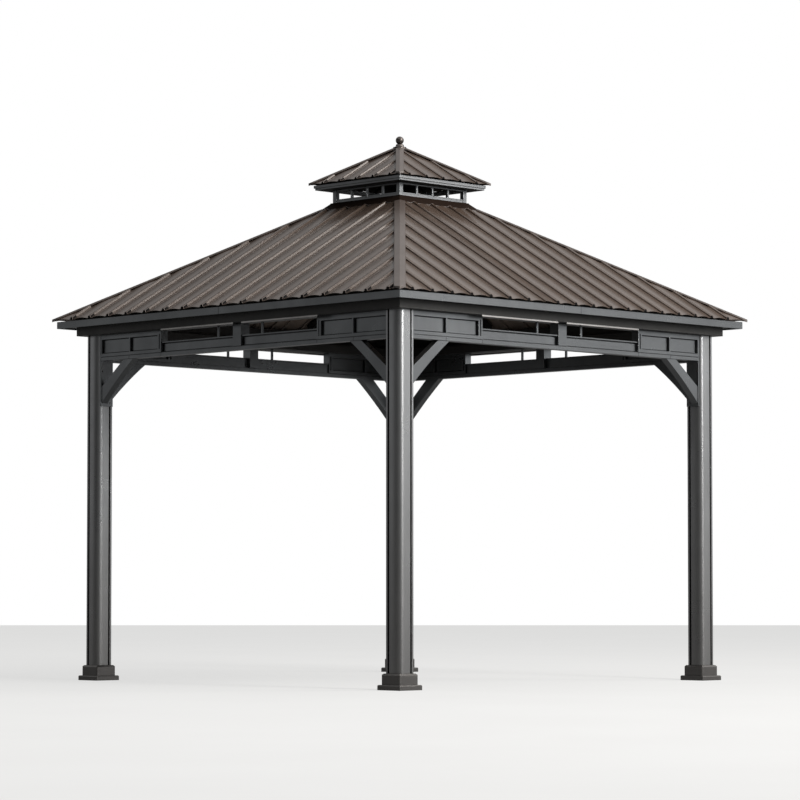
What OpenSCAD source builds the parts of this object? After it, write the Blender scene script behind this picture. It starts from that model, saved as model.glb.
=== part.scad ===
// Square hardtop gazebo with a two-tier metal roof.
// Millimetres, +Z up, floor at z = 0, origin under the middle of the roof.
// Front is -Y, right is +X.

/* [Plan] */
// Distance between post centres along each side
post_spacing = 2896; // [2600:2:3300]
// Half side of the main roof sheet at the eave
roof_half = 1677; // [1640:1:1700]
// Half side of the eave fascia
fascia_half = 1657; // [1625:1:1665]
// Half side of the boxed eave beam
beam_half = 1562; // [1550:1:1575]

/* [Posts] */
// Side of the square post
post_w = 120; // [100:2:130]
// Radius of the post's outer corner
post_r = 25; // [16:1:44]
// Width of the long groove beside each square corner
groove_w = 14; // [8:1:16]
// Depth of that groove
groove_d = 9; // [3:1:9]
// Distance from the square corner to the groove
groove_edge = 11; // [8:1:16]
// Side of the base cover's foot plate
cover_w = 198; // [180:2:220]
// Height of the foot plate
cover_plate_h = 32; // [20:1:40]
// Side of the base cover's collar
collar_w = 164; // [150:2:170]
// Top of the collar above the floor
collar_top = 102; // [80:1:120]

/* [Frieze and braces] */
// Height of the underside of the frieze
frieze_z = 2170; // [2100:5:2200]
// Height of the underside of the eave beam, which the posts carry
beam_z = 2344; // [2330:1:2360]
// How far the frieze's outer face stands outboard of the post centres
frieze_out = 48; // [36:1:55]
// Thickness of the frieze's rails and panels
frieze_t = 60; // [40:1:80]
// Depth of the recessed fields in the corner panels
field_recess = 16; // [6:1:20]
// Distance of the corner panels' inner end from the middle of the side
panel_in = 755; // [700:5:800]
// Distance of the small bars from the middle of the side
bar_pos = 212; // [180:2:260]
// How far the left side's block, bars and openings sit towards the front
left_shift = 50; // [0:5:80]
// Width of the centre block
block_w = 78; // [60:2:100]
// Thickness of the knee braces
brace_t = 52; // [30:1:60]
// Thickness of the brace's post plate
plate_t = 10; // [6:1:14]
// Reach of the brace along the beam, from the post centre to its outer edge
brace_reach = 401; // [360:2:430]
// Height of the brace's post plate above the floor
plate_z = 1862; // [1820:2:1880]

/* [Main roof] */
// Height of the sheet's top face at the eave
roof_z = 2447; // [2440:1:2460]
// Slope of the main roof, as rise for each 1000 of run
roof_rise = 582; // [540:2:620]
// Thickness of the roof sheet
sheet_t = 6; // [4:0.5:8]
// Height of the standing ribs
rib_h = 14; // [10:1:24]
// Width of a rib at its foot
rib_foot = 40; // [30:1:50]
// Width of a rib at its top
rib_top = 22; // [12:1:26]
// Underside of the fascia above the floor
fascia_z = 2394; // [2386:1:2400]
// Top of the fascia above the floor
fascia_top = 2441; // [2430:1:2446]
// Width of the hip caps
cap_w = 74; // [60:1:90]

/* [Vent cupola] */
// Half side of the cupola's frame
cupola_half = 324; // [300:2:340]
// Bottom of the cupola's frame
cupola_z = 3256; // [3252:1:3262]
// Side of the cupola's corner posts
cupola_post = 32; // [24:1:40]
// Width of the cupola's thin bars
cupola_bar = 13; // [8:1:20]
// Half side of the skirt's lower edge
skirt_half = 382; // [370:1:392]
// Half side of the upper fascia
up_fascia_half = 417; // [405:1:425]
// Underside of the upper fascia
up_fascia_z = 3345; // [3340:1:3350]
// Half side of the upper roof sheet at its eave
up_half = 439; // [432:1:450]
// Height of the upper sheet's top face at its eave
up_z = 3383; // [3380:1:3390]
// Slope of the upper roof, as rise for each 1000 of run
up_rise = 578; // [540:2:620]
// Width of the upper hip caps
up_cap_w = 56; // [44:1:70]
// Radius of the ball on the finial
ball_r = 28; // [18:1:32]

/* [Hidden] */
$fn = 48;

P = post_spacing / 2;
slope = roof_rise / 1000;
roof_ang = atan(slope);
up_slope = up_rise / 1000;
up_ang = atan(up_slope);
hole = cupola_half - 26;              // half side of the hole in the main roof
plate_s = post_w / 2 + plate_t;       // brace plate's free face, from the post centre
panel_end = P - plate_s;              // end of the frieze, at the brace plate
rail_h = 22;                          // height of each moulding of the bottom rail
groove = 4;                           // shadow groove between the two mouldings
board_z = frieze_z + 24;
mid_z = frieze_z + 88;                // mid rail under the openings
mid_h = 8;
open_top = beam_z - 3;               // underside of the eave beam's flange
field_top = beam_z - 32;
field_bot = frieze_z + 2 * rail_h + groove;
divider = 1080;                       // middle of the strip between two fields

metal = [0.27, 0.28, 0.29];
metal_dark = [0.17, 0.17, 0.17];
brown = [0.36, 0.31, 0.28];
brown_dark = [0.17, 0.13, 0.11];

// height of the roof sheets' top faces above a square ring of half side h
function rz(h) = roof_z + slope * (roof_half - h);
function uz(h) = up_z + up_slope * (up_half - h);
// ribs along the front and back eaves, evenly spaced, and along the side eaves,
// where one wider bay follows the seventh rib
function ribs_a() = [for (k = [-8:8]) 48 + 190.6 * k];
function ribs_b() = concat([for (k = [0:6]) -1565 + 174.8 * k], [for (k = [0:10]) -242 + 171.8 * k]);
function bez(a, b, c, t) = (1 - t) * (1 - t) * a + 2 * t * (1 - t) * b + t * t * c;

// ---- placing ----
module corner(k) rotate([0, 0, 90 * k]) children();   // 0 back right, 1 back left, 2 front left, 3 front right
module side(k) rotate([0, 0, 90 * k]) children();     // 0 front, 1 right, 2 back, 3 left
// a box in a side: x along the side, o outboard of the post centres, z up
module sbox(x0, x1, o0, o1, z0, z1)
  translate([x0, -(P + o1), z0]) cube([x1 - x0, o1 - o0, z1 - z0]);
// the wedge of plan that belongs to the front side, from half side h0 out to h1
module wedge(h0, h1, z0, z1)
  translate([0, 0, z0]) linear_extrude(z1 - z0)
    polygon([[-h1, -h1], [h1, -h1], [h0, -h0], [-h0, -h0]]);
// a profile of [half side, height] points run along the front side with mitred ends
module run_front(pts, h0, h1, z0, z1)
  intersection() {
    rotate([90, 0, 90]) translate([0, 0, -h1 - 10]) linear_extrude(2 * h1 + 20)
      polygon([for (p = pts) [-p[0], p[1]]]);
    wedge(h0, h1, z0, z1);
  }
module ring(pts, h0, h1, z0, z1)
  union() for (k = [0:3]) side(k) run_front(pts, h0, h1, z0, z1);

// ---- posts ----
module post_2d() {
  h = post_w / 2;
  difference() {
    union() {
      translate([-h, -h]) square([post_w, post_w - post_r]);
      translate([-h, -h]) square([post_w - post_r, post_w]);
      translate([h - post_r, h - post_r]) circle(r = post_r);
    }
    // grooves beside the square corners
    for (m = [0, 1]) mirror([m, -m, 0]) {
      translate([-h + groove_edge, h - groove_d]) square([groove_w, groove_d + 1]);
      translate([-h + groove_edge, -h - 1]) square([groove_w, groove_d + 1]);
      translate([h - groove_edge - groove_w, -h - 1]) square([groove_w, groove_d + 1]);
    }
  }
}
// every post stands the same way round, its rounded corner toward the front right
module post(k) color(metal) corner(k) translate([P, P, 0]) rotate([0, 0, 90 * (3 - k)]) linear_extrude(beam_z) post_2d();

// ---- base covers ----
module rsq(w, r) {
  square([w, w - 2 * r], center = true);
  square([w - 2 * r, w], center = true);
  for (x = [-1, 1], y = [-1, 1]) translate([x * (w / 2 - r), y * (w / 2 - r)]) circle(r = r);
}
// block with chamfered top edges
module topped(w, h, c, r)
  intersection() {
    linear_extrude(h) rsq(w, r);
    for (a = [0]) rotate([90, 0, 0]) translate([0, 0, -w]) linear_extrude(2 * w)
      polygon([[-w / 2, 0], [w / 2, 0], [w / 2, h - c], [w / 2 - c, h], [-w / 2 + c, h], [-w / 2, h - c]]);
    for (a = [0]) rotate([90, 0, 90]) translate([0, 0, -w]) linear_extrude(2 * w)
      polygon([[-w / 2, 0], [w / 2, 0], [w / 2, h - c], [w / 2 - c, h], [-w / 2 + c, h], [-w / 2, h - c]]);
  }
module base_cover(k) color(metal_dark) corner(k) translate([P, P, 0])
  difference() {
    union() {
      topped(cover_w, cover_plate_h, 6, 5);
      topped(collar_w, collar_top, 12, 14);
    }
    translate([0, 0, -1]) linear_extrude(collar_top + 2) post_2d();
  }

// ---- knee braces ----
// one brace in the plane of the back side, running from the post towards the middle
// grow is how much longer the leg of this corner's braces is, against the standard brace
module brace_one(grow) {
  s1 = brace_reach + 15 * grow;
  s0 = brace_reach - 102 - 13 * grow;
  zt = frieze_z;
  n = 12;
  low = [for (i = [0:n]) let (t = i / n)
    [P - bez(s1, s1 - 175, plate_s, t), bez(zt, zt - 128 - 14 * grow, zt - 288 - 32 * grow, t)]];
  translate([0, P + 42, 0]) rotate([90, 0, 0]) linear_extrude(brace_t)
    polygon(concat([[P - plate_s, zt - 176 - 28 * grow], [P - s0, zt]], low));
  // post plate, from the brace's foot up to the eave beam
  translate([P - plate_s, P - 54, plate_z - 32 * grow]) cube([plate_t, 102, beam_z - plate_z + 32 * grow]);
}
module knee_braces(k) color(metal) corner(k) {
  g = k == 1 ? 1 : 0;                  // the back left corner has the longer braces
  brace_one(g);
  mirror([1, -1, 0]) brace_one(g);
}

// ---- frieze ----
function shift_of(k) = k == 3 ? left_shift : 0;
module frieze_beam(k) color(metal) side(k) {
  o1 = frieze_out;
  o0 = frieze_out - frieze_t;
  // lower moulding of the bottom rail, end to end
  sbox(-panel_end, panel_end, o0, o1, frieze_z, frieze_z + rail_h);
  // web behind the shadow groove
  sbox(-panel_end, panel_end, o0 + 5, o1 - 5, frieze_z + rail_h, board_z + 2);
  for (m = [0, 1]) mirror([m, 0, 0]) {
    s = (m == 0 ? 1 : -1) * shift_of(k);
    a = block_w / 2 + s;
    b = panel_in + s;
    // recessed lower board, either side of the centre block, with a groove round its face
    difference() {
      sbox(a, b, o0 + 12, o1 - 20, board_z, mid_z + 1);
      difference() {
        sbox(a - 1, b + 1, o1 - 34, o1, board_z + 2, mid_z - 1);
        sbox(a + 12, b - 12, o1 - 40, o1 + 5, board_z + 8, mid_z - 7);
      }
    }
    // mid rail
    sbox(a, b, o0 + 6, o1 - 6, mid_z, mid_z + mid_h);
  }
}
// one recessed field with a groove round its floor, cut into a face at o (d = 1 outer, -1 inner)
module field(x0, x1, o, d) {
  a = d > 0 ? o - field_recess : o - 1;
  b = d > 0 ? o + 1 : o + field_recess;
  sbox(x0, x1, a, b, field_bot, field_top);
  difference() {
    sbox(x0, x1, a - (d > 0 ? 9 : 0), b + (d > 0 ? 0 : 9), field_bot, field_top);
    sbox(x0 + 9, x1 - 9, a - 20, b + 20, field_bot + 5, field_top - 5);
  }
}
module frieze_panels(k) color(metal) side(k)
  for (m = [0, 1]) mirror([m, 0, 0]) {
    o1 = frieze_out;
    o0 = frieze_out - frieze_t;
    zb = frieze_z + rail_h + groove;
    p0 = panel_in + (m == 0 ? 1 : -1) * shift_of(k);
    difference() {
      sbox(p0, panel_end, o0, o1, zb, beam_z);
      for (d = [1, -1]) {
        o = d > 0 ? o1 : o0;
        // the two fields
        field(p0 + 36, divider - 6, o, d);
        field(divider + 6, panel_end - 6, o, d);
        // line in the end stile
        sbox(p0 + 13, p0 + 22, d > 0 ? o - 9 : o - 1, d > 0 ? o + 1 : o + 9, zb + 22, field_top + 8);
      }
    }
  }
module frieze_uprights() color(metal)
  for (k = [0:3]) side(k) translate([shift_of(k), 0, 0]) {
    // centre block, from the bottom rail up to the eave beam
    sbox(-block_w / 2, block_w / 2, frieze_out - frieze_t - 16, frieze_out, board_z + 2, open_top);
    // small bars
    for (m = [-1, 1])
      sbox(m * bar_pos - 8, m * bar_pos + 8, 10, 22, mid_z + mid_h, open_top);
  }

// ---- eaves ----
module eave_beam(k) color(metal_dark) side(k) union() {
  run_front([[beam_half, beam_z], [beam_half, 2490], [1500, 2490], [1500, 2404], [1400, 2404], [1400, beam_z]],
    1300, beam_half, beam_z - 10, 2600);
  // flange over the frieze's openings
  translate([shift_of(k), 0, 0]) sbox(-panel_in, panel_in, frieze_out - frieze_t, frieze_out - 6, open_top, beam_z + 1);
}
module fascia(k) color(metal) side(k)
  run_front([[fascia_half, fascia_z], [fascia_half, fascia_top], [fascia_half - 12, fascia_top],
             [fascia_half - 12, fascia_z + 18], [beam_half, fascia_z + 18], [beam_half, fascia_z + 10],
             [fascia_half - 12, fascia_z + 10], [fascia_half - 12, fascia_z]],
    1300, fascia_half, fascia_z - 10, 2600);

// ---- roof sheets ----
// sheet with standing ribs, top face through the eave line, x along the eave
module up_slope_of(half, z, ang, len)
  translate([0, -half, z]) rotate([ang, 0, 0])
    rotate([90, 0, 0]) translate([0, 0, -len]) linear_extrude(len + 40) children();
module plain(half, z, ang, len, t)
  up_slope_of(half, z, ang, len) polygon([[half + 5, -t], [-half - 5, -t], [-half - 5, 0], [half + 5, 0]]);
module ribs_only(half, z, ang, len, ribs, foot, top, h, t)
  up_slope_of(half, z, ang, len) for (x = ribs)
    polygon([[x - foot / 2, -t / 2], [x - foot / 2, 0], [x - top / 2, h], [x + top / 2, h], [x + foot / 2, 0], [x + foot / 2, -t / 2]]);
module roof_sheet(k, ribs) color(brown) side(k) {
  e = cap_w / sqrt(2);
  intersection() {
    plain(roof_half, roof_z, roof_ang, 1700, sheet_t);
    wedge(hole, roof_half, 2300, 3600);
  }
  // the ribs stop at the hip caps
  intersection() {
    ribs_only(roof_half, roof_z, roof_ang, 1700, ribs, rib_foot, rib_top, rib_h, sheet_t);
    translate([0, 0, 2300]) linear_extrude(1300)
      polygon([[-roof_half + e, -roof_half], [roof_half - e, -roof_half], [hole - e, -hole], [-hole + e, -hole]]);
  }
}
// low ridged cap over a hip, from half side h0 (top) to h1 (eave); front right corner
module hip_cap(h0, h1, z1, sl, w, crest) {
  a = atan(sl / sqrt(2));
  len = (h1 - h0) * sqrt(2) / cos(a);
  e = w / 2;
  top = [[-e, -7], [-e, 0], [-e + 3, 2], [-3, crest - 1], [0, crest], [3, crest - 1], [e - 3, 2], [e, 0], [e, -7]];
  intersection() {
    translate([h1, -h1, z1]) rotate([0, 0, 135]) rotate([0, -a, 0])
      rotate([90, 0, 90]) translate([0, 0, -60]) linear_extrude(len + 60)
        polygon(concat(top, [[e - 3, -7], [e - 3, -1], [0, crest - 4], [-e + 3, -1], [-e + 3, -7]]));
    translate([-h1, -h1, 2000]) cube([2 * h1, 2 * h1, 2000]);
  }
  // turned-down lip at the eave
  intersection() {
    translate([h1, -h1, z1]) rotate([0, 0, 135]) rotate([0, -a, 0])
      rotate([90, 0, 90]) translate([0, 0, -60]) linear_extrude(120) polygon(top);
    difference() {
      translate([-h1, -h1, 2000]) cube([2 * h1, 2 * h1, 2000]);
      translate([-h1 + 3, -h1 + 3, 1900]) cube([2 * h1 - 6, 2 * h1 - 6, 2200]);
    }
  }
}
module hip_caps() color(brown) for (k = [0:3]) side(k) hip_cap(skirt_half - 8, roof_half + 4, roof_z - slope * 4 + 3, slope, cap_w, 10);

// ---- roof frame ----
module hip_rafters() color(metal_dark) for (k = [0:3]) side(k)
  rotate([0, 0, -45]) rotate([90, 0, 0]) translate([0, 0, -20]) linear_extrude(40)
    polygon([for (q = [[1498, -20], [340, -20], [340, -80], [1498, -80]]) [q[0] * sqrt(2), rz(q[0]) + q[1]]]);
module side_rafters() color(metal_dark) for (k = [0:3]) side(k) for (x = [-560, 560])
  translate([x - 18, 0, 0]) rotate([90, 0, 90]) linear_extrude(36)
    polygon([for (q = [[1498, -9], [615, -9], [615, -69], [1498, -69]]) [-q[0], rz(q[0]) + q[1]]]);
module purlins() color(metal_dark) for (k = [0:3]) side(k)
  run_front([[925, rz(925) - 84], [885, rz(885) - 84], [885, rz(885) - 118], [925, rz(925) - 118]], 800, 925, 2700, 3200);

// ---- cupola ----
module cupola_skirt() color(brown_dark)
  ring([[skirt_half, rz(skirt_half) + 4], [skirt_half, rz(skirt_half) + 9], [cupola_half + 12, cupola_z - 4], [cupola_half + 12, cupola_z],
        [hole, cupola_z], [hole, cupola_z - 6], [cupola_half + 6, cupola_z - 6], [skirt_half - 5, rz(skirt_half) + 4]],
    hole - 20, skirt_half, 3100, 3300);
module cupola_rails() color(metal) {
  ring([[cupola_half - 4, cupola_z], [cupola_half - 4, cupola_z + 16], [cupola_half - 24, cupola_z + 16], [cupola_half - 24, cupola_z]],
    250, cupola_half - 4, 3200, 3400);
  ring([[cupola_half - 4, up_fascia_z - 10], [cupola_half - 4, up_fascia_z], [cupola_half - 24, up_fascia_z], [cupola_half - 24, up_fascia_z - 10]],
    250, cupola_half - 4, 3200, 3400);
}
module cupola_bars() color(metal) for (k = [0:3]) side(k) {
  c = cupola_half;
  translate([c - cupola_post, -c, cupola_z]) difference() {
    cube([cupola_post, cupola_post, up_fascia_z - cupola_z]);
    for (z = [-1, up_fascia_z - cupola_z - 10]) translate([-1, 4, z]) cube([cupola_post - 3, cupola_post + 1, z < 0 ? 17 : 11]);
  }
  for (x = [-150, 0, 150])
    translate([x - cupola_bar / 2, -c + 6, cupola_z + 16]) cube([cupola_bar, 15, up_fascia_z - 10 - cupola_z - 16]);
}
module upper_fascia() color(metal)
  ring([[up_fascia_half - 7, up_fascia_z], [up_fascia_half - 7, up_fascia_z + 13], [up_fascia_half, up_fascia_z + 13], [up_fascia_half, up_fascia_z + 32],
        [up_fascia_half - 20, up_fascia_z + 32], [up_fascia_half - 20, up_fascia_z + 8], [cupola_half - 30, up_fascia_z + 8], [cupola_half - 30, up_fascia_z]],
    200, up_fascia_half, 3300, 3500);
module upper_roof() color(brown)
  union() for (k = [0:3]) side(k)
    {
      e = up_cap_w / sqrt(2);
      intersection() {
        plain(up_half, up_z, up_ang, 520, 5);
        translate([0, 0, 3300]) linear_extrude(500) polygon([[-up_half, -up_half], [up_half, -up_half], [0, 0]]);
      }
      intersection() {
        ribs_only(up_half, up_z, up_ang, 520, [for (i = [-2:2]) 162 * i + (k % 2 == 0 ? 20 : -20)], 34, 18, 11, 5);
        translate([0, 0, 3300]) linear_extrude(500) polygon([[-up_half + e, -up_half], [up_half - e, -up_half], [0, -e]]);
      }
    }
module upper_hip_caps() color(brown) for (k = [0:3]) side(k) hip_cap(26, up_half + 3, up_z - up_slope * 3 + 3, up_slope + 0.018, up_cap_w, 9);
module finial() color(metal) {
  t = uz(0) + 6;
  translate([0, 0, t - 20]) cylinder(h = 20, r = 46);
  translate([0, 0, t]) cylinder(h = 5, r1 = 45, r2 = 29);
  translate([0, 0, t + 5]) cylinder(h = 13, r1 = 29, r2 = 25);
  translate([0, 0, t + 18]) cylinder(h = 6, r1 = 25, r2 = 14);
  translate([0, 0, t + 19 + ball_r]) sphere(r = ball_r, $fn = 48);
}

// ---- the named pieces ----
module post_front_left() post(2);
module post_front_right() post(3);
module post_back_right() post(0);
module post_back_left() post(1);
module base_cover_front_left() base_cover(2);
module base_cover_front_right() base_cover(3);
module base_cover_back_right() base_cover(0);
module base_cover_back_left() base_cover(1);
module knee_braces_front_left() knee_braces(2);
module knee_braces_front_right() knee_braces(3);
module knee_braces_back_right() knee_braces(0);
module knee_braces_back_left() knee_braces(1);
module frieze_beam_front() frieze_beam(0);
module frieze_beam_right() frieze_beam(1);
module frieze_beam_back() frieze_beam(2);
module frieze_beam_left() frieze_beam(3);
module frieze_panels_front() frieze_panels(0);
module frieze_panels_right() frieze_panels(1);
module frieze_panels_back() frieze_panels(2);
module frieze_panels_left() frieze_panels(3);
module eave_beam_front() eave_beam(0);
module eave_beam_right() eave_beam(1);
module eave_beam_back() eave_beam(2);
module eave_beam_left() eave_beam(3);
module fascia_front() fascia(0);
module fascia_right() fascia(1);
module fascia_back() fascia(2);
module fascia_left() fascia(3);
module roof_sheet_front() roof_sheet(0, ribs_a());
module roof_sheet_right() roof_sheet(1, ribs_b());
module roof_sheet_back() roof_sheet(2, ribs_a());
module roof_sheet_left() roof_sheet(3, ribs_b());

post_front_left();
post_front_right();
post_back_right();
post_back_left();
base_cover_front_left();
base_cover_front_right();
base_cover_back_right();
base_cover_back_left();
knee_braces_front_left();
knee_braces_front_right();
knee_braces_back_right();
knee_braces_back_left();
frieze_beam_front();
frieze_beam_right();
frieze_beam_back();
frieze_beam_left();
frieze_panels_front();
frieze_panels_right();
frieze_panels_back();
frieze_panels_left();
frieze_uprights();
eave_beam_front();
eave_beam_right();
eave_beam_back();
eave_beam_left();
fascia_front();
fascia_right();
fascia_back();
fascia_left();
roof_sheet_front();
roof_sheet_right();
roof_sheet_back();
roof_sheet_left();
hip_caps();
hip_rafters();
side_rafters();
purlins();
cupola_skirt();
cupola_rails();
cupola_bars();
upper_fascia();
upper_roof();
upper_hip_caps();
finial();
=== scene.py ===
import bpy, bmesh, math
from mathutils import Vector, Matrix


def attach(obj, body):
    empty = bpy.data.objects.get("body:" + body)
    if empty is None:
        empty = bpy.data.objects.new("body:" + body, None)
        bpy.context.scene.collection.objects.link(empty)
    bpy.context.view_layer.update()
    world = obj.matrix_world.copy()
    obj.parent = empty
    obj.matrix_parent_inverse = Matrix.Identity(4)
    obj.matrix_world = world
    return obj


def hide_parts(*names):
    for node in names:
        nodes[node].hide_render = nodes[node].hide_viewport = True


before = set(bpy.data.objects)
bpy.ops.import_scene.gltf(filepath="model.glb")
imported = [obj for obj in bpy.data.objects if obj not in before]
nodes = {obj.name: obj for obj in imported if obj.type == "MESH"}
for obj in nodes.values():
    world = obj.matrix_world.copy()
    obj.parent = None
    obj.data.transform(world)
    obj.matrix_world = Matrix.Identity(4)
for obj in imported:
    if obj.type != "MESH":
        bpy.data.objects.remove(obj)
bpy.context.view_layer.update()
scene = bpy.context.scene
scene.view_settings.view_transform = "Standard"
scene.view_settings.look = "None"
scene.view_settings.exposure = 0.0
scene.view_settings.gamma = 1.0

# ------------------------------------------------------------------ camera
R2 = math.sqrt(2)
DIST, CAM_H, PITCH = 21.110, 0.638, math.radians(2.555)
cam_data = bpy.data.cameras.new("camera")
cam_data.sensor_width = 36.0
cam_data.lens = 139.34
cam_data.shift_x = 0.00034
cam_data.shift_y = 0.06
cam_data.clip_start, cam_data.clip_end = 0.5, 400.0
cam = bpy.data.objects.new("camera", cam_data)
cam.location = (DIST / R2, -DIST / R2, CAM_H)
cam.rotation_euler = (math.radians(90) + PITCH, 0.0, math.radians(45))
scene.collection.objects.link(cam)
scene.camera = cam

# ------------------------------------------------------------------ materials
def new_mat(name):
    m = bpy.data.materials.new(name)
    m.use_nodes = True
    nt = m.node_tree
    return m, nt, nt.nodes["Principled BSDF"]


def ramp(nt, src, stops, interp="LINEAR"):
    r = nt.nodes.new("ShaderNodeValToRGB")
    r.color_ramp.interpolation = interp
    e = r.color_ramp.elements
    while len(e) < len(stops):
        e.new(0.5)
    for i, (p, c) in enumerate(stops):
        e[i].position = p
        e[i].color = (*c, 1.0) if len(c) == 3 else c
    nt.links.new(src, r.inputs[0])
    return r


def noise(nt, scale, detail=3.0, rough=0.5, stretch=None, vec=None):
    n = nt.nodes.new("ShaderNodeTexNoise")
    n.inputs["Scale"].default_value = scale
    n.inputs["Detail"].default_value = detail
    n.inputs["Roughness"].default_value = rough
    tc = nt.nodes.new("ShaderNodeTexCoord")
    src = tc.outputs["Object"] if vec is None else vec
    if stretch:
        mp = nt.nodes.new("ShaderNodeMapping")
        mp.inputs["Scale"].default_value = stretch
        nt.links.new(src, mp.inputs[0])
        src = mp.outputs[0]
    nt.links.new(src, n.inputs["Vector"])
    return n.outputs[0]


def mixc(nt, fac, a, b, mode="MIX"):
    m = nt.nodes.new("ShaderNodeMix")
    m.data_type = "RGBA"
    m.blend_type = mode
    for key, v in (("Factor", fac), ("A", a), ("B", b)):
        sock = [s for s in m.inputs if s.name == key and (s.type == "VALUE" if key == "Factor" else s.type == "RGBA")][0]
        if hasattr(v, "links"):
            nt.links.new(v, sock)
        elif key == "Factor":
            sock.default_value = v
        else:
            sock.default_value = (*v, 1.0)
    return [s for s in m.outputs if s.type == "RGBA"][0]


def metal_paint(name, base, light, rough=0.36, metallic=0.85, spec=0.5, wear=0.3, grain=900.0, bump=0.05, streak=0.5, crevice=0.8, reach=0.007, foot=None):
    """Painted sheet metal: slow tone drift, rain streaks, painted shade darkening the grooves and inner corners, worn
    arrises, roughness that varies and a fine orange-peel bump; with foot, painted shade darker towards the bottom."""
    m, nt, b = new_mat(name)
    drift = ramp(nt, noise(nt, 1.3, 4, 0.55), [(0.35, base), (0.7, light)])
    col = drift.outputs[0]
    st = ramp(nt, noise(nt, 9.0, 5, 0.6, stretch=(1, 1, 0.06)), [(0.45, (1, 1, 1)), (0.75, (0.84, 0.84, 0.85))])
    col = mixc(nt, streak, col, st.outputs[0], "MULTIPLY")
    if wear > 0:
        bev = nt.nodes.new("ShaderNodeBevel")
        bev.samples = 4
        bev.inputs["Radius"].default_value = 0.003
        geo = nt.nodes.new("ShaderNodeNewGeometry")
        dot = nt.nodes.new("ShaderNodeVectorMath")
        dot.operation = "DOT_PRODUCT"
        nt.links.new(bev.outputs[0], dot.inputs[0])
        nt.links.new(geo.outputs["Normal"], dot.inputs[1])
        edge = ramp(nt, dot.outputs["Value"], [(0.80, (1, 1, 1)), (0.985, (0, 0, 0))])
        brk = ramp(nt, noise(nt, 26.0, 6, 0.65), [(0.42, (0, 0, 0)), (0.66, (1, 1, 1))])
        mask = mixc(nt, 1.0, edge.outputs[0], brk.outputs[0], "MULTIPLY")
        sep = nt.nodes.new("ShaderNodeSeparateColor")
        nt.links.new(mask, sep.inputs[0])
        mul = nt.nodes.new("ShaderNodeMath")
        mul.operation = "MULTIPLY"
        mul.inputs[1].default_value = wear
        nt.links.new(sep.outputs[0], mul.inputs[0])
        col = mixc(nt, mul.outputs[0], col, tuple(min(1.0, c * 1.7 + 0.02) for c in light))
    # painted shade: ambient occlusion darkens grooves, recesses and inner corners almost to black
    if crevice > 0:
        ao = nt.nodes.new("ShaderNodeAmbientOcclusion")
        ao.samples = 6
        ao.inputs["Distance"].default_value = reach
        painted_crevice_shade = ramp(nt, ao.outputs["AO"], [(0.42, (0.02, 0.02, 0.02)), (0.80, (1, 1, 1))])
        col = mixc(nt, crevice, col, painted_crevice_shade.outputs[0], "MULTIPLY")
    # painted shade: the colour gets darker and warmer towards the bottom of the part
    if foot:
        geo2 = nt.nodes.new("ShaderNodeNewGeometry")
        sepz = nt.nodes.new("ShaderNodeSeparateXYZ")
        nt.links.new(geo2.outputs["Position"], sepz.inputs[0])
        rise = nt.nodes.new("ShaderNodeMapRange")
        rise.inputs["From Min"].default_value = 0.0
        rise.inputs["From Max"].default_value = 2.3
        nt.links.new(sepz.outputs["Z"], rise.inputs["Value"])
        painted_foot_shade = ramp(nt, rise.outputs["Result"], [(0.0, foot), (0.45, tuple(0.5 + 0.5 * v for v in foot)), (0.95, (1, 1, 1))])
        col = mixc(nt, 1.0, col, painted_foot_shade.outputs[0], "MULTIPLY")
    nt.links.new(col, b.inputs["Base Color"])
    r = ramp(nt, noise(nt, 6.0, 5, 0.6), [(0.3, (rough - 0.04,) * 3), (0.7, (rough + 0.06,) * 3)])
    nt.links.new(r.outputs[0], b.inputs["Roughness"])
    b.inputs["Specular IOR Level"].default_value = spec
    b.inputs["Metallic"].default_value = metallic
    bp = nt.nodes.new("ShaderNodeBump")
    bp.inputs["Strength"].default_value = bump
    bp.inputs["Distance"].default_value = 0.0006
    nt.links.new(noise(nt, grain, 2, 0.5), bp.inputs["Height"])
    nt.links.new(bp.outputs[0], b.inputs["Normal"])
    return m


# crevice and reach set how strongly each paint gets painted shade in its grooves and corners
M_FRAME = metal_paint("frame_paint", (0.130, 0.136, 0.141), (0.150, 0.157, 0.162), 0.30, 0.95)
# painted light: the frame's grey made lighter for the posts to stand in for the light on them; foot adds painted shade
# near the floor
M_POST_LIGHTENED = metal_paint("post_paint_lightened", (0.256, 0.261, 0.266), (0.281, 0.287, 0.292), 0.30, 0.92, wear=0.0, bump=0.004, foot=(0.72, 0.70, 0.68))
M_RAIL = metal_paint("cupola_paint", (0.150, 0.156, 0.161), (0.172, 0.179, 0.185), 0.32, 0.9, reach=0.005)
# dark paint that also stands in for the shade in the eave band under the fascia and inside the roof (painted shade)
M_DARK_AND_SHADE = metal_paint("dark_paint", (0.040, 0.040, 0.039), (0.050, 0.049, 0.047), 0.42, 0.6, spec=0.35)
M_BASE = metal_paint("base_paint", (0.098, 0.094, 0.091), (0.118, 0.113, 0.109), 0.36, 0.8)
M_ROOF = metal_paint("roof_paint", (0.044, 0.031, 0.024), (0.056, 0.040, 0.031), 0.25, 0.0, spec=0.66, wear=0.0, crevice=0.7, bump=0.012)
M_UNDER = metal_paint("roof_underside", (0.300, 0.240, 0.205), (0.360, 0.292, 0.250), 0.45, 0.0, spec=0.4, wear=0.0, crevice=0.6, reach=0.03, streak=0.2)
M_CAP = metal_paint("cap_paint", (0.050, 0.039, 0.034), (0.062, 0.050, 0.044), 0.33, 0.0, spec=0.6, wear=0.25, crevice=0.5)
M_SKIRT = metal_paint("skirt_paint", (0.010, 0.0062, 0.0046), (0.013, 0.0084, 0.0062), 0.6, 0.0, spec=0.03, wear=0.1, crevice=0.5)
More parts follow.
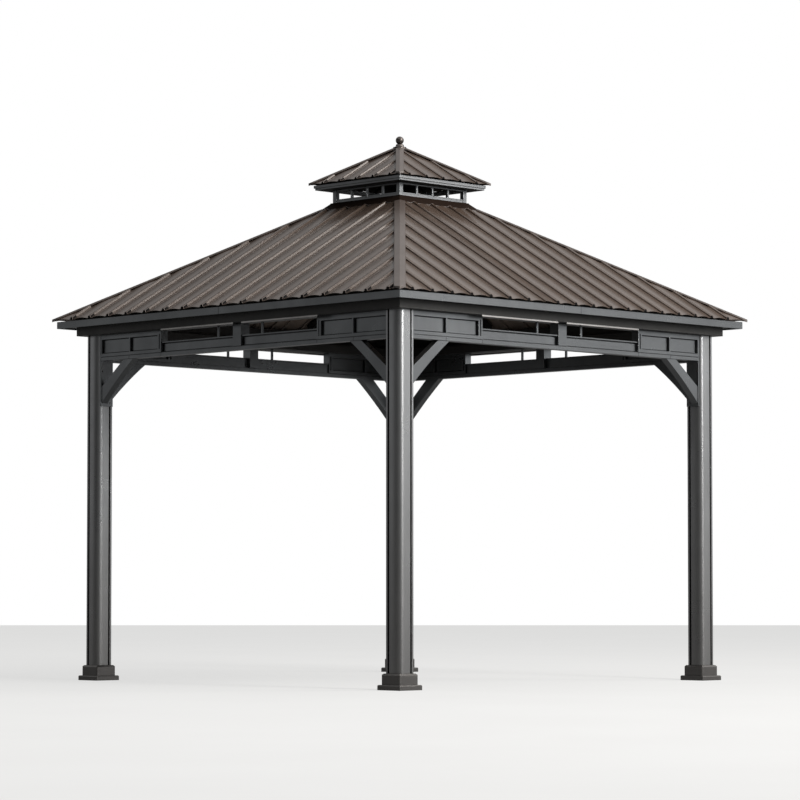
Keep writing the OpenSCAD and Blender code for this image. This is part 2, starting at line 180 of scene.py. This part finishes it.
# painted shade: near-black for the downward faces of the cupola parts and the inside of the upper roof, which get
# little light
M_UNDERSIDE_SHADE = metal_paint("painted_underside_shade", (0.014, 0.013, 0.012), (0.020, 0.018, 0.017), 0.6, 0.0, spec=0.12, wear=0.1, crevice=0.5)
M_BALL = metal_paint("finial_metal", (0.085, 0.075, 0.070), (0.11, 0.098, 0.092), 0.22, 0.9, wear=0.1, crevice=0.5, bump=0.02)
M_FOAM_AND_RIB_SHADE = metal_paint("closure_foam_and_rib_end_shade", (0.004, 0.004, 0.004), (0.008, 0.007, 0.007), 0.85, 0.0, spec=0.1, wear=0.0, crevice=0.0, bump=0.4, grain=500)
# near-black sealant for the joints, also used as painted shade on the floors and walls of the post grooves
M_SEAM_AND_GROOVE_SHADE = metal_paint("seam_seal_and_groove_shade", (0.006, 0.006, 0.006), (0.010, 0.010, 0.010), 0.7, 0.0, spec=0.2, wear=0.0, crevice=0.0, bump=0.3, grain=600)


def floor_mat():
    m, nt, b = new_mat("floor")
    c = ramp(nt, noise(nt, 0.8, 6, 0.6), [(0.3, (0.114, 0.113, 0.112)), (0.7, (0.124, 0.124, 0.123))])
    nt.links.new(c.outputs[0], b.inputs["Base Color"])
    b.inputs["Roughness"].default_value = 0.9
    b.inputs["Specular IOR Level"].default_value = 0.1
    b.inputs["Emission Color"].default_value = (1.0, 1.0, 0.992, 1.0)
    b.inputs["Emission Strength"].default_value = 0.625
    # the glow belongs to the backdrop's look and does not light the object from below
    dim = nt.nodes.new("ShaderNodeBsdfDiffuse")
    nt.links.new(c.outputs[0], dim.inputs["Color"])
    lp = nt.nodes.new("ShaderNodeLightPath")
    mx = nt.nodes.new("ShaderNodeMixShader")
    either = nt.nodes.new("ShaderNodeMath")
    either.operation = "MULTIPLY_ADD"
    nt.links.new(lp.outputs["Is Glossy Ray"], either.inputs[0])
    either.inputs[1].default_value = 0.11
    nt.links.new(lp.outputs["Is Camera Ray"], either.inputs[2])
    nt.links.new(either.outputs[0], mx.inputs[0])
    nt.links.new(dim.outputs[0], mx.inputs[1])
    nt.links.new(b.outputs[0], mx.inputs[2])
    nt.links.new(mx.outputs[0], nt.nodes["Material Output"].inputs["Surface"])
    return m


M_FLOOR = floor_mat()

# ------------------------------------------------------------------ floor, world, lights
def mesh_obj(name, verts, faces, mat=None, smooth=False):
    me = bpy.data.meshes.new(name)
    me.from_pydata(verts, [], faces)
    me.update()
    ob = bpy.data.objects.new(name, me)
    scene.collection.objects.link(ob)
    if mat:
        me.materials.append(mat)
    if smooth:
        for p in me.polygons:
            p.use_smooth = True
    return ob


FL = 29.6
floor = mesh_obj("floor_stage", [(-FL, -FL, 0), (FL, -FL, 0), (FL, FL, 0), (-FL, FL, 0)], [(0, 1, 2, 3)], M_FLOOR)
floor.rotation_euler = (0, 0, math.radians(45))

world = bpy.data.worlds.new("world")
scene.world = world
world.use_nodes = True
wn = world.node_tree
bg = wn.nodes["Background"]
wout = wn.nodes["World Output"]
bg.inputs["Color"].default_value = (1, 1, 1, 1)
bg.inputs["Strength"].default_value = 1.0
lit = wn.nodes.new("ShaderNodeBackground")
tcw = wn.nodes.new("ShaderNodeTexCoord")
sepw = wn.nodes.new("ShaderNodeSeparateXYZ")
wn.links.new(tcw.outputs["Generated"], sepw.inputs[0])


def wmath(op, a, b=None, clamp=False):
    n = wn.nodes.new("ShaderNodeMath")
    n.operation = op
    n.use_clamp = clamp
    for i, v in enumerate((a, b)):
        if v is None:
            continue
        if hasattr(v, "links"):
            wn.links.new(v, n.inputs[i])
        else:
            n.inputs[i].default_value = v
    return n.outputs[0]


def wramp(src, stops, interp="EASE"):
    r = wn.nodes.new("ShaderNodeValToRGB")
    r.color_ramp.interpolation = interp
    e = r.color_ramp.elements
    while len(e) < len(stops):
        e.new(0.5)
    for i, (p, v) in enumerate(stops):
        e[i].position = p
        e[i].color = (*v, 1.0) if isinstance(v, tuple) else (v, v, v, 1.0)
    wn.links.new(src, r.inputs[0])
    return r.outputs[0]


# direction round the horizon, 0 at the front (-Y), 90 at the right (+X), as 0..1 from -180 to 180 degrees
ang = wmath("ARCTAN2", sepw.outputs[0], wmath("MULTIPLY", sepw.outputs[1], -1.0))
turn = wmath("ADD", wmath("DIVIDE", ang, 2 * math.pi), 0.5)
HORIZON = [(-180, 0.04), (-110, 0.05), (-70, 0.25), (-48, 0.31), (-30, 0.10), (0, 0.04), (30, 0.10), (62, 0.22), (76, 0.85), (84, 1.15), (92, 0.85), (108, 0.78), (135, 0.95), (160, 0.35), (180, 0.04)]
band = wramp(turn, [((d + 180.0) / 360.0, v) for d, v in HORIZON], "LINEAR")
# share of the horizon band against the dome, by height
low = wramp(sepw.outputs[2], [(0.0, 1.0), (0.16, 1.0), (0.30, 0.0)])
dome_b = wramp(sepw.outputs[2], [(0.0, 0.02), (0.43, 0.02), (0.55, 0.40), (0.69, 1.0), (1.0, 1.0)])
side_b = wramp(turn, [((d + 180.0) / 360.0, v) for d, v in [(-180, 0.75), (-120, 0.42), (-60, 0.45), (0, 0.5), (60, 0.6), (110, 0.7), (150, 1.0), (180, 0.75)]], "EASE")
dome = wn.nodes.new("ShaderNodeMix")
dome.data_type = "RGBA"
dome.blend_type = "MULTIPLY"
dome.inputs["Factor"].default_value = 1.0
wn.links.new(dome_b, dome.inputs[6])
wn.links.new(side_b, dome.inputs[7])
wmix = wn.nodes.new("ShaderNodeMix")
wmix.data_type = "RGBA"
wn.links.new(low, wmix.inputs["Factor"])
wn.links.new(dome.outputs[2], wmix.inputs[6])
wn.links.new(band, wmix.inputs[7])
wn.links.new(wmix.outputs[2], lit.inputs["Color"])
lit.inputs["Strength"].default_value = 1.62
lp = wn.nodes.new("ShaderNodeLightPath")
mixw = wn.nodes.new("ShaderNodeMixShader")
wn.links.new(lp.outputs["Is Camera Ray"], mixw.inputs[0])
wn.links.new(lit.outputs[0], mixw.inputs[1])
wn.links.new(bg.outputs[0], mixw.inputs[2])
wn.links.new(mixw.outputs[0], wout.inputs[0])


def area(name, az, el, dist, sx, sy, power, color=(1, 1, 1), target=(0, 0, 1.6)):
    l = bpy.data.lights.new(name, "AREA")
    l.shape = "RECTANGLE"
    l.size, l.size_y = sx, sy
    l.energy = power
    l.color = color
    o = bpy.data.objects.new(name, l)
    a, e = math.radians(az), math.radians(el)
    back = Vector((math.sin(a) * math.cos(e), -math.cos(a) * math.cos(e), math.sin(e)))
    o.location = Vector(target) + back * dist
    o.rotation_euler = back.to_track_quat("Z", "Y").to_euler()
    o.visible_camera = False
    scene.collection.objects.link(o)
    return o


# key: one strip that also shows in the paint, one that only lights, and a high soft box over the right
area("key", 87, 26, 16.0, 2.2, 11.0, 1700, (1.0, 0.98, 0.955))
fill = area("key_soft", 88, 30, 16.0, 5.0, 10.0, 2300, (1.0, 0.985, 0.96))
fill.visible_glossy = False
area("side_box", 130, 18, 15.0, 4.4, 3.4, 330, (1.0, 0.96, 0.92), target=(0, 0, 2.8))
area("sky_box", 131, 42, 14.0, 4.6, 7.0, 900, (1.0, 0.95, 0.90), target=(0, 0, 2.8))

# ------------------------------------------------------------------ CAD nodes: materials and arrises
def dress(ob, mat, width=0.0015, seg=2, angle=25, planar=True, smooth=False, under=None):
    ob.data.materials.clear()
    ob.data.materials.append(mat)
    if under:
        ob.data.materials.append(under)
    for p in ob.data.polygons:
        p.use_smooth = smooth
        # painted shade: faces turned downwards get the darker second material
        if under and p.normal.z < -0.6:
            p.material_index = 1
    w = ob.modifiers.new("weld", "WELD")
    w.merge_threshold = 0.00002
    if planar:
        d = ob.modifiers.new("planar", "DECIMATE")
        d.decimate_type = "DISSOLVE"
        d.angle_limit = math.radians(0.6)
    if width:
        b = ob.modifiers.new("arris", "BEVEL")
        b.width = width
        b.segments = seg
        b.limit_method = "ANGLE"
        b.angle_limit = math.radians(angle)
        b.harden_normals = smooth
        b.use_clamp_overlap = True


for n, ob in nodes.items():
    if n.startswith("base_cover"):
        dress(ob, M_BASE, 0.002)
    elif n.startswith("eave_beam") or n in ("hip_rafters", "side_rafters", "purlins"):
        # eave beams and roof framing take the dark paint that also serves as painted shade
        dress(ob, M_DARK_AND_SHADE, 0.0015)
    elif n in ("hip_caps", "upper_hip_caps"):
        dress(ob, M_CAP, 0.0008)
    elif n.startswith("roof_sheet") or n == "upper_roof":
        dress(ob, M_ROOF, 0.0)
    elif n == "cupola_skirt":
        dress(ob, M_SKIRT, 0.0008)
    elif n in ("cupola_rails", "cupola_bars", "upper_fascia"):
        dress(ob, M_RAIL, 0.0012, under=M_UNDERSIDE_SHADE)
    elif n.startswith("frieze_panels"):
        dress(ob, M_FRAME, 0.0010, seg=1, planar=False, smooth=False)
    elif n.startswith("post"):
        dress(ob, M_POST_LIGHTENED, 0.0)
    else:
        dress(ob, M_FRAME, 0.0012)

# ------------------------------------------------------------------ roof sheets
def turn4(k, x, y):
    """The front side's (x, y) turned to side k: 0 front, 1 right, 2 back, 3 left."""
    for _ in range(k):
        x, y = -y, x
    return x, y


RIBS_A = [0.048 + 0.1906 * k for k in range(-8, 9)]
RIBS_B = [-1.565 + 0.1748 * k for k in range(0, 7)] + [-0.242 + 0.1718 * k for k in range(0, 11)]


def rib_profile(c, foot, top, h, n=4):
    """Points across one rib: steep flank on the left, sloping flank on the right, rounded shoulders."""
    pts = []
    f2, t2 = foot / 2, top / 2
    for i in range(n + 1):
        t = i / n
        pts.append((-f2 - 0.006 + 0.012 * t, h * 0.20 * t * t))
    pts.append((-t2 - 0.0028, h * 0.80))
    for i in range(1, n + 1):
        a = i / n * math.pi / 2
        pts.append((-t2 - 0.0028 + 0.0050 * math.sin(a), h * (0.80 + 0.20 * math.sin(a))))
    r2, q2 = f2 - 0.0045, t2 - 0.0015
    for i in range(n, -1, -1):
        a = i / n * math.pi / 2
        pts.append((q2 - 0.0015 - 0.0030 * math.sin(a) + 0.0030, h * (0.86 + 0.14 * math.sin(a))))
    pts.append((r2 - 0.0020, h * 0.10))
    pts.append((r2 + 0.0006, h * 0.015))
    pts.append((f2 + 0.006, 0.0))
    return [(c + x, z) for x, z in pts]


def across(half, ribs, foot, top, h, crown, n=10):
    """(x, height, is_rib) along the eave; the pans between the ribs are gently crowned."""
    edges = [-half] + list(ribs) + [half]
    out = []
    for i, c in enumerate(edges):
        if 0 < i < len(edges) - 1:
            out += [(x, z, True) for x, z in rib_profile(c, foot, top, h)]
        if i < len(edges) - 1:
            x0 = c + (foot / 2 + 0.006 if i > 0 else 0.0)
            x1 = edges[i + 1] - (foot / 2 + 0.006 if i + 1 < len(edges) - 1 else 0.0)
            if x1 - x0 < 0.004:
                continue
            w = x1 - x0
            if w > 0.18:
                # wide bay: one pan, then the lapped edge of the next sheet running down to the rib
                wp = 0.128
                for j in range(1, n):
                    t = j / n
                    out.append((x0 + wp * t, crown * 4 * t * (1 - t), False))
                out.append((x0 + wp, 0.0002, False))
                out.append((x0 + wp + 0.0015, 0.0078, False))
                for j in range(1, n):
                    t = j / n
                    out.append((x0 + wp + 0.0015 + (w - wp - 0.0015) * t, 0.0078 * (1 - t) + 0.0008 * 4 * t * (1 - t), False))
                continue
            k = crown * min(1.0, w / 0.13)
            for j in range(1, n):
                t = j / n
                out.append((x0 + w * t, k * 4 * t * (1 - t), False))
    out.sort(key=lambda p: p[0])
    res = [(-half, 0.0, False)]
    for p in out:
        if p[0] - res[-1][0] > 1e-5 and p[0] < half - 1e-5:
            res.append(p)
    res.append((half, 0.0, False))
    return res


def sheet_side(k, half, z0, slope, hole, ribs, foot, top, h, crown, cap, t=0.0012, levels=7, skirt=None, seed=0.0):
    """One side of a hipped roof as thin ribbed sheet. Ribs end at the hip caps and under the skirt."""
    cosa = math.cos(math.atan(slope))
    prof = across(half, ribs, foot, top, h, crown)
    verts, faces = [], []
    stop = skirt if skirt else hole
    for x, zh, rib in prof:
        end = max(hole, abs(x))
        tap = min(half, max(stop, abs(x) + cap))
        rows = [half + (tap - half) * i / levels for i in range(levels + 1)]
        tap2 = max(end, tap - 0.004)
        rows += [tap2, end]
        for i, hh in enumerate(rows):
            full = i <= levels
            if half - 0.0005 < tap:
                full = False
            if full:
                z = zh
                # faint waviness of thin sheet
                if not rib:
                    z += 0.0006 * math.sin(7.0 * hh + 3.1 * x + seed) * min(1.0, zh / 0.002)
            else:
                z = zh if not rib and zh < 0.004 else 0.0
                if not rib:
                    z = zh * max(0.0, min(1.0, (hh - end) / 0.05))
            px, py = turn4(k, x, -hh)
            verts.append((px, py, z0 + slope * (half - hh) + z / cosa))
    m = levels + 3
    for i in range(len(prof) - 1):
        for j in range(m - 1):
            a0, b0 = i * m + j, (i + 1) * m + j
            faces.append((a0, b0, b0 + 1, a0 + 1))
    return verts, faces


def roof_piece(name, parts, mat, t, under=None):
    bm = bmesh.new()
    for verts, faces in parts:
        vs = [bm.verts.new(v) for v in verts]
        for f in faces:
            q = [vs[i] for i in f]
            try:
                bm.faces.new(q)
            except ValueError:
                pass
    bmesh.ops.remove_doubles(bm, verts=bm.verts, dist=0.00002)
    bmesh.ops.dissolve_degenerate(bm, edges=bm.edges, dist=0.00002)
    for f in bm.faces:
        f.normal_update()
    up = [f for f in bm.faces if f.normal.z < 0]
    if up:
        bmesh.ops.reverse_faces(bm, faces=up)
    for f in bm.faces:
        f.smooth = True
    me = bpy.data.meshes.new(name)
    bm.to_mesh(me)
    bm.free()
    me.materials.append(mat)
    ob = bpy.data.objects.new(name, me)
    scene.collection.objects.link(ob)
    me.set_sharp_from_angle(angle=math.radians(38))
    so = ob.modifiers.new("sheet", "SOLIDIFY")
    so.thickness = t
    so.offset = -1.0
    so.use_even_offset = False
    me.materials.append(under or M_UNDER)
    so.material_offset = 1
    so.material_offset_rim = 0
    es = ob.modifiers.new("cut_edges", "EDGE_SPLIT")
    es.split_angle = math.radians(38)
    return ob


SIDES = ("front", "right", "back", "left")
ROOF_Z, ROOF_S, ROOF_H = 2.447, 0.582, 1.677
UP_Z, UP_S, UP_H = 3.383, 0.578, 0.439
for k, sname in enumerate(SIDES):
    ribs = RIBS_A if k % 2 == 0 else RIBS_B
    part = sheet_side(k, ROOF_H, ROOF_Z, ROOF_S, 0.298, ribs, 0.040, 0.020, 0.0135, 0.0066, 0.0525, skirt=0.384, seed=1.7 * k)
    ob = roof_piece("ribbed_sheet_" + sname, [part], M_ROOF, 0.0012)
    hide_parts("roof_sheet_" + sname)
    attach(ob, "root")

UP_RIBS = [[0.162 * i + sh for i in (-2, -1, 0, 1, 2)] for sh in (0.020, -0.020, 0.020, -0.020)]
parts = [sheet_side(k, UP_H, UP_Z, UP_S, 0.004, UP_RIBS[k], 0.034, 0.016, 0.0105, 0.0040, 0.040, levels=4, seed=0.9 * k) for k in range(4)]
ob = roof_piece("upper_ribbed_sheets", parts, M_ROOF, 0.0012, under=M_UNDERSIDE_SHADE)
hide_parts("upper_roof")
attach(ob, "root")

# foam closures in the open rib ends, near-black, also standing in for the shade inside the hollow ribs (painted shade)
def closures(name, specs):
    verts, faces = [], []
    for k, half, z0, slope, ribs, foot, top, h in specs:
        cosa = math.cos(math.atan(slope))
        for c in ribs:
            if abs(c) > half - 0.06:
                continue
            base = len(verts)
            for hh in (half - 0.004, half - 0.034):
                for dx, dz in ((-foot / 2 + 0.003, -0.0014), (-top / 2 - 0.001, h - 0.0022), (-top / 2 + 0.003, h - 0.0012), (top / 2 - 0.003, h - 0.0012), (top / 2 + 0.001, h - 0.0022), (foot / 2 - 0.003, -0.0014)):
                    px, py = turn4(k, c + dx, -hh)
                    verts.append((px, py, z0 + slope * (half - hh) + dz / cosa))
            n = 6
            faces.append(tuple(base + i for i in range(n)))
            faces.append(tuple(base + n + n - 1 - i for i in range(n)))
            for i in range(n):
                j = (i + 1) % n
                faces.append((base + i, base + n + i, base + n + j, base + j))
    ob = mesh_obj(name, verts, faces, M_FOAM_AND_RIB_SHADE)
    bm = bmesh.new()
    bm.from_mesh(ob.data)
    bmesh.ops.recalc_face_normals(bm, faces=bm.faces)
    bm.to_mesh(ob.data)
    bm.free()
    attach(ob, "root")
    return ob


closures("rib_closures", [(k, ROOF_H, ROOF_Z, ROOF_S, RIBS_A if k % 2 == 0 else RIBS_B, 0.040, 0.020, 0.0135) for k in range(4)]
         + [(k, UP_H, UP_Z, UP_S, UP_RIBS[k], 0.034, 0.016, 0.0105) for k in range(4)])

# hemmed, wavy lower edge of the cupola's skirt
def hem():
    verts, faces = [], []
    N = 120
    for k in range(4):
        ribs = RIBS_A if k % 2 == 0 else RIBS_B
        base = len(verts)
        H = 0.382
        for i in range(N + 1):
            x = -H + 2 * H * i / N
            lift = 0.0
            for c in ribs:
                d = abs(x - c)
                if d < 0.034:
                    lift = max(lift, 0.011 * 0.5 * (1 + math.cos(math.pi * d / 0.034)))
            z = ROOF_Z + ROOF_S * (ROOF_H - H)
            for hh, zz in ((H - 0.006, z + 0.010 + lift * 0.5), (H + 0.0015, z + 0.0052 + lift), (H + 0.0015, z + 0.0022 + lift), (H - 0.006, z + 0.0052 + lift * 0.5)):
                s = hh / H
                px, py = turn4(k, x * s, -hh)
                verts.append((px, py, zz))
        for i in range(N):
            for j in range(4):
                a0 = base + 4 * i + j
                a1 = base + 4 * i + (j + 1) % 4
                faces.append((a0, a0 + 4, a1 + 4, a1))
    ob = mesh_obj("skirt_hem", verts, faces, M_CAP, smooth=False)
    bm = bmesh.new()
    bm.from_mesh(ob.data)
    bmesh.ops.remove_doubles(bm, verts=bm.verts, dist=0.00001)
    bmesh.ops.recalc_face_normals(bm, faces=bm.faces)
    bm.to_mesh(ob.data)
    bm.free()
    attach(ob, "root")


hem()

# ------------------------------------------------------------------ finial
def lathe(name, pts, mat, seg=48, center=(0, 0, 0)):
    verts, faces = [], []
    for r, z in pts:
        for i in range(seg):
            a = 2 * math.pi * i / seg
            verts.append((center[0] + r * math.cos(a), center[1] + r * math.sin(a), center[2] + z))
    for j in range(len(pts) - 1):
        for i in range(seg):
            i2 = (i + 1) % seg
            faces.append((j * seg + i, j * seg + i2, (j + 1) * seg + i2, (j + 1) * seg + i))
    faces.append(tuple(range(seg - 1, -1, -1)))
    ob = mesh_obj(name, verts, faces, mat, smooth=True)
    bm = bmesh.new()
    bm.from_mesh(ob.data)
    bmesh.ops.remove_doubles(bm, verts=bm.verts, dist=0.00001)
    bmesh.ops.recalc_face_normals(bm, faces=bm.faces)
    bm.to_mesh(ob.data)
    bm.free()
    ob.data.set_sharp_from_angle(angle=math.radians(50))
    return ob


T = UP_Z + UP_S * UP_H + 0.006
prof = [(0.0455, -0.0195), (0.0460, -0.010), (0.0460, -0.003), (0.0450, -0.0005), (0.0400, 0.0012), (0.0335, 0.0030), (0.0300, 0.0052), (0.0284, 0.0085),
        (0.0274, 0.0120), (0.0266, 0.0152), (0.0252, 0.0182), (0.0222, 0.0204), (0.0182, 0.0220), (0.0148, 0.0232)]
R, C = 0.0278, 0.0470
a0 = math.asin(0.0146 / R)
for i in range(1, 29):
    a = a0 + (math.pi - a0) * i / 28
    prof.append((max(0.00002, R * math.sin(a)), C - R * math.cos(a)))
fin = lathe("ball_finial", prof, M_BALL, 56, (0, 0, T))
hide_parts("finial")
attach(fin, "root")

# ------------------------------------------------------------------ posts
def post_piece(k, name):
    """Post extrusion: two deep grooves beside the square corners, rounded outer corner whose shading
    rolls softly into the flats."""
    h, r = 0.060, 0.025
    # half the outline of the outer faces: (x along the face from the square corner, y out, normal angle, new facet)
    def face():
        e = 0.0010
        pts = [(-h, h - 0.0025, -90), (-h, h - e, -60), (-h + e, h, -10), (-h + 0.004, h, 0), (-0.0468, h, 0), (-0.0458, h - 0.0008, 30),
               None, (-0.0458, h - 0.0008, 90), (-0.0456, h - 0.0165, 90), None, (-0.0456, h - 0.0165, 0), (-0.0326, h - 0.0165, 0), None,
               (-0.0326, h - 0.0165, -90), (-0.0324, h - 0.0010, -90), None, (-0.0324, h - 0.0010, -45), (-0.0314, h, -8), (-0.027, h, 0), (-0.010, h, 0), (0.008, h, 5), (0.022, h, 12), (h - r, h, 21)]
        return pts
    left = face()
    arc = []
    for i in range(1, 12):
        t = i / 12
        a = math.radians(90 * t)
        arc.append((h - r + r * math.sin(a), h - r + r * math.cos(a), 21 + (90 - 42) * t))
    right = []
    for p in reversed(left):
        right.append(None if p is None else (p[1], p[0], 90 - p[2]))
    # inner faces, plain, with small rounded corners
    line = left + arc + right
    strips, cur = [], []
    for p in line:
        if p is None:
            strips.append(cur)
            cur = []
        else:
            cur.append(p)
    strips.append(cur)
    # face y = -h, outward normal -y (angle 180), running from x = h to x = -h
    g0, g1, dp = 0.0458, 0.0326, 0.0165
    def inner_face():
        return [[(h - 0.0025, -h, 180), (g0, -h, 180)], [(g0, -h, 270), (g0, -h + dp, 270)], [(g0, -h + dp, 180), (g1, -h + dp, 180)], [(g1, -h + dp, 90), (g1, -h, 90)],
                [(g1, -h, 180), (-g1, -h, 180)], [(-g1, -h, 270), (-g1, -h + dp, 270)], [(-g1, -h + dp, 180), (-g0, -h + dp, 180)], [(-g0, -h + dp, 90), (-g0, -h, 90)], [(-g0, -h, 180), (-h + 0.001, -h, 190), (-h, -h + 0.001, 260)]]
    fa = inner_face()
    strips += fa
    # face x = -h, mirrored in the diagonal
    fc = fa[:-1] + [fa[-1][:-1]]
    fb = [[(p[1], p[0], 90 - p[2]) for p in reversed(st)] for st in reversed(fc)]
    fb[0] = [(-h, -h + 0.001, 260)] + fb[0][1:] if len(fb[0]) > 1 else fb[0]
    strips += fb
    outline = []
    for st in strips:
        for x, y, _ in st:
            if not outline or math.hypot(x - outline[-1][0], y - outline[-1][1]) > 1e-6:
                outline.append((x, y))
    if math.hypot(outline[0][0] - outline[-1][0], outline[0][1] - outline[-1][1]) < 1e-6:
        outline.pop()
    c = 1.448
    verts, faces, norms, deep = [], [], [], set()
    zs = (0.0, 2.344)
    for st in strips:
        base = len(verts)
        sunk = any(abs(abs(v) - (h - 0.0165)) < 1e-5 for x, y, _ in st for v in (x, y))
        for x, y, ang in st:
            a = math.radians(ang)
            nx, ny = math.sin(a), math.cos(a)
            qx, qy = turn4(3 - k, x, y)
            px, py = turn4(k, c + qx, c + qy)
            nx, ny = turn4(3, nx, ny)
            for z in zs:
                verts.append((px, py, z))
                norms.append((nx, ny, 0.0))
        for i in range(len(st) - 1):
            q = (base + 2 * i, base + 2 * i + 1, base + 2 * i + 3, base + 2 * i + 2)
            if sunk:
                deep.add(len(faces))
            faces.append(q)
    for z, nz in ((zs[0], -1.0), (zs[1], 1.0)):
        base = len(verts)
        for x, y in outline:
            qx, qy = turn4(3 - k, x, y)
            px, py = turn4(k, c + qx, c + qy)
            verts.append((px, py, z))
            norms.append((0.0, 0.0, nz))
        faces.append(tuple(range(base, base + len(outline))))
    # turn every face the way its normals point
    fixed = []
    for q in faces:
        v = [Vector(verts[i]) for i in q]
        n = Vector((0, 0, 0))
        for i in range(len(v)):
            n += v[i].cross(v[(i + 1) % len(v)])
        w = Vector(norms[q[0]]) + Vector(norms[q[2]])
        fixed.append(q if n.dot(w) >= 0 else tuple(reversed(q)))
    me = bpy.data.meshes.new(name)
    me.from_pydata(verts, [], fixed)
    me.update()
    for p in me.polygons:
        p.use_smooth = True
    me.normals_split_custom_set_from_vertices([Vector(n).normalized() for n in norms])
    me.materials.append(M_POST_LIGHTENED)
    me.materials.append(M_SEAM_AND_GROOVE_SHADE)
    # painted shade: the faces inside the grooves take the near-black material
    for i, p in enumerate(me.polygons):
        p.material_index = 1 if i in deep else 0
    ob = bpy.data.objects.new(name, me)
    scene.collection.objects.link(ob)
    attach(ob, "root")
    return ob


for k, cname in enumerate(("back_right", "back_left", "front_left", "front_right")):
    ob = post_piece(k, "grooved_post_" + cname)
    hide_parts("post_" + cname)

# ------------------------------------------------------------------ joint seals on the fascia and the bottom rails
def boxes(name, items, mat, bev=0.0):
    verts, faces = [], []
    for k, x0, x1, y0, y1, z0, z1 in items:
        base = len(verts)
        for z in (z0, z1):
            for x, y in ((x0, y0), (x1, y0), (x1, y1), (x0, y1)):
                px, py = turn4(k, x, y)
                verts.append((px, py, z))
        for f in ((3, 2, 1, 0), (4, 5, 6, 7), (0, 1, 5, 4), (1, 2, 6, 5), (2, 3, 7, 6), (3, 0, 4, 7)):
            faces.append(tuple(base + i for i in f))
    ob = mesh_obj(name, verts, faces, mat)
    if bev:
        m = ob.modifiers.new("arris", "BEVEL")
        m.width = bev
        m.segments = 1
    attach(ob, "root")
    return ob


FH = 1.657
seams = [(k, -0.0015, 0.0015, -FH - 0.0003, -FH + 0.004, 2.3945, 2.4408) for k in range(4)]
PF = 1.453 + 0.043
for k in range(4):
    for x in (-1.085, -0.755, 0.755, 1.085):
        seams.append((k, x - 0.0016, x + 0.0016, -PF - 0.0003, -PF + 0.003, 2.1705, 2.1918))
boxes("joint_seals", seams, M_SEAM_AND_GROOVE_SHADE, 0.0001)

beads = [(k, x0, x1, -0.3198, -0.3042, 3.2715, 3.2805) for k in range(4) for x0, x1 in ((-0.2915, -0.1568), (-0.1432, -0.0068), (0.0068, 0.1432), (0.1568, 0.2915))]
boxes("cupola_rail_beads", beads, M_RAIL, 0.0008)

# painted highlight: light metal for a strip that shows as a bright line under the flange
M_LIP_GLINT = metal_paint("painted_glint_lip", (0.38, 0.37, 0.36), (0.46, 0.45, 0.44), 0.38, 0.9, wear=0.0, crevice=0.3)


def lips():
    """Bright angle under the eave beam's flange, over the openings of the frieze; its light colour is a painted
    highlight standing in for floor light caught on the flange's underside.
    """
    verts, faces = [], []
    for k in range(4):
        sh = (0.072, -0.072, 0.072, -0.022)[k]
        for x0, x1 in ((-0.754, -0.041), (0.041, 0.754)):
            base = len(verts)
            for x in (x0 + sh, x1 + sh):
                for o, z in ((0.1075, 2.3440), (0.1075, 2.3348), (0.1060, 2.3335), (0.1045, 2.3348), (0.1045, 2.3440)):
                    px, py = turn4(k, x, -(1.453 + o))
                    verts.append((px, py, z))
            n = 5
            for i in range(n):
                j = (i + 1) % n
                faces.append((base + i, base + j, base + n + j, base + n + i))
            faces.append(tuple(base + i for i in range(n)))
            faces.append(tuple(base + n + n - 1 - i for i in range(n)))
    ob = mesh_obj("opening_lips", verts, faces, M_LIP_GLINT)
    bm = bmesh.new()
    bm.from_mesh(ob.data)
    bmesh.ops.recalc_face_normals(bm, faces=bm.faces)
    bm.to_mesh(ob.data)
    bm.free()
    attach(ob, "root")


lips()

# ------------------------------------------------------------------ screws on the brace plates
def screws():
    verts, faces = [], []
    seg = 12
    P, S = 1.448, 0.070
    items = []
    for sx in (-1, 1):
        for sy in (-1, 1):
            for zz in (1.885, 1.925, 2.10, 2.30):
                # plates face the middle along x and along y
                for off in (-0.030, 0.036):
                    if zz in (2.10, 2.30) and off < 0:
                        continue
                    items.append(((sx * (P - S), sy * (P + off), zz), (-sx, 0)))
                    items.append(((sx * (P + off), sy * (P - S), zz), (0, -sy)))
    ring = [(0.0, 0.0026), (0.0028, 0.0024), (0.0046, 0.0014), (0.0052, 0.0)]
    for c, d in items:
        base = len(verts)
        n = Vector((d[0], d[1], 0))
        u = Vector((-n.y, n.x, 0))
        w = Vector((0, 0, 1))
        cc = Vector(c)
        verts.append(tuple(cc + n * ring[0][1]))
        for r, h in ring[1:]:
            for i in range(seg):
                a = 2 * math.pi * i / seg
                verts.append(tuple(cc + n * h + u * (r * math.cos(a)) + w * (r * math.sin(a))))
        for i in range(seg):
            faces.append((base, base + 1 + i, base + 1 + (i + 1) % seg))
        for j in range(len(ring) - 2):
            for i in range(seg):
                i2 = (i + 1) % seg
                faces.append((base + 1 + j * seg + i, base + 1 + (j + 1) * seg + i, base + 1 + (j + 1) * seg + i2, base + 1 + j * seg + i2))
    ob = mesh_obj("brace_plate_screws", verts, faces, M_BALL, smooth=True)
    bm = bmesh.new()
    bm.from_mesh(ob.data)
    bmesh.ops.recalc_face_normals(bm, faces=bm.faces)
    bm.to_mesh(ob.data)
    bm.free()
    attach(ob, "root")


screws()
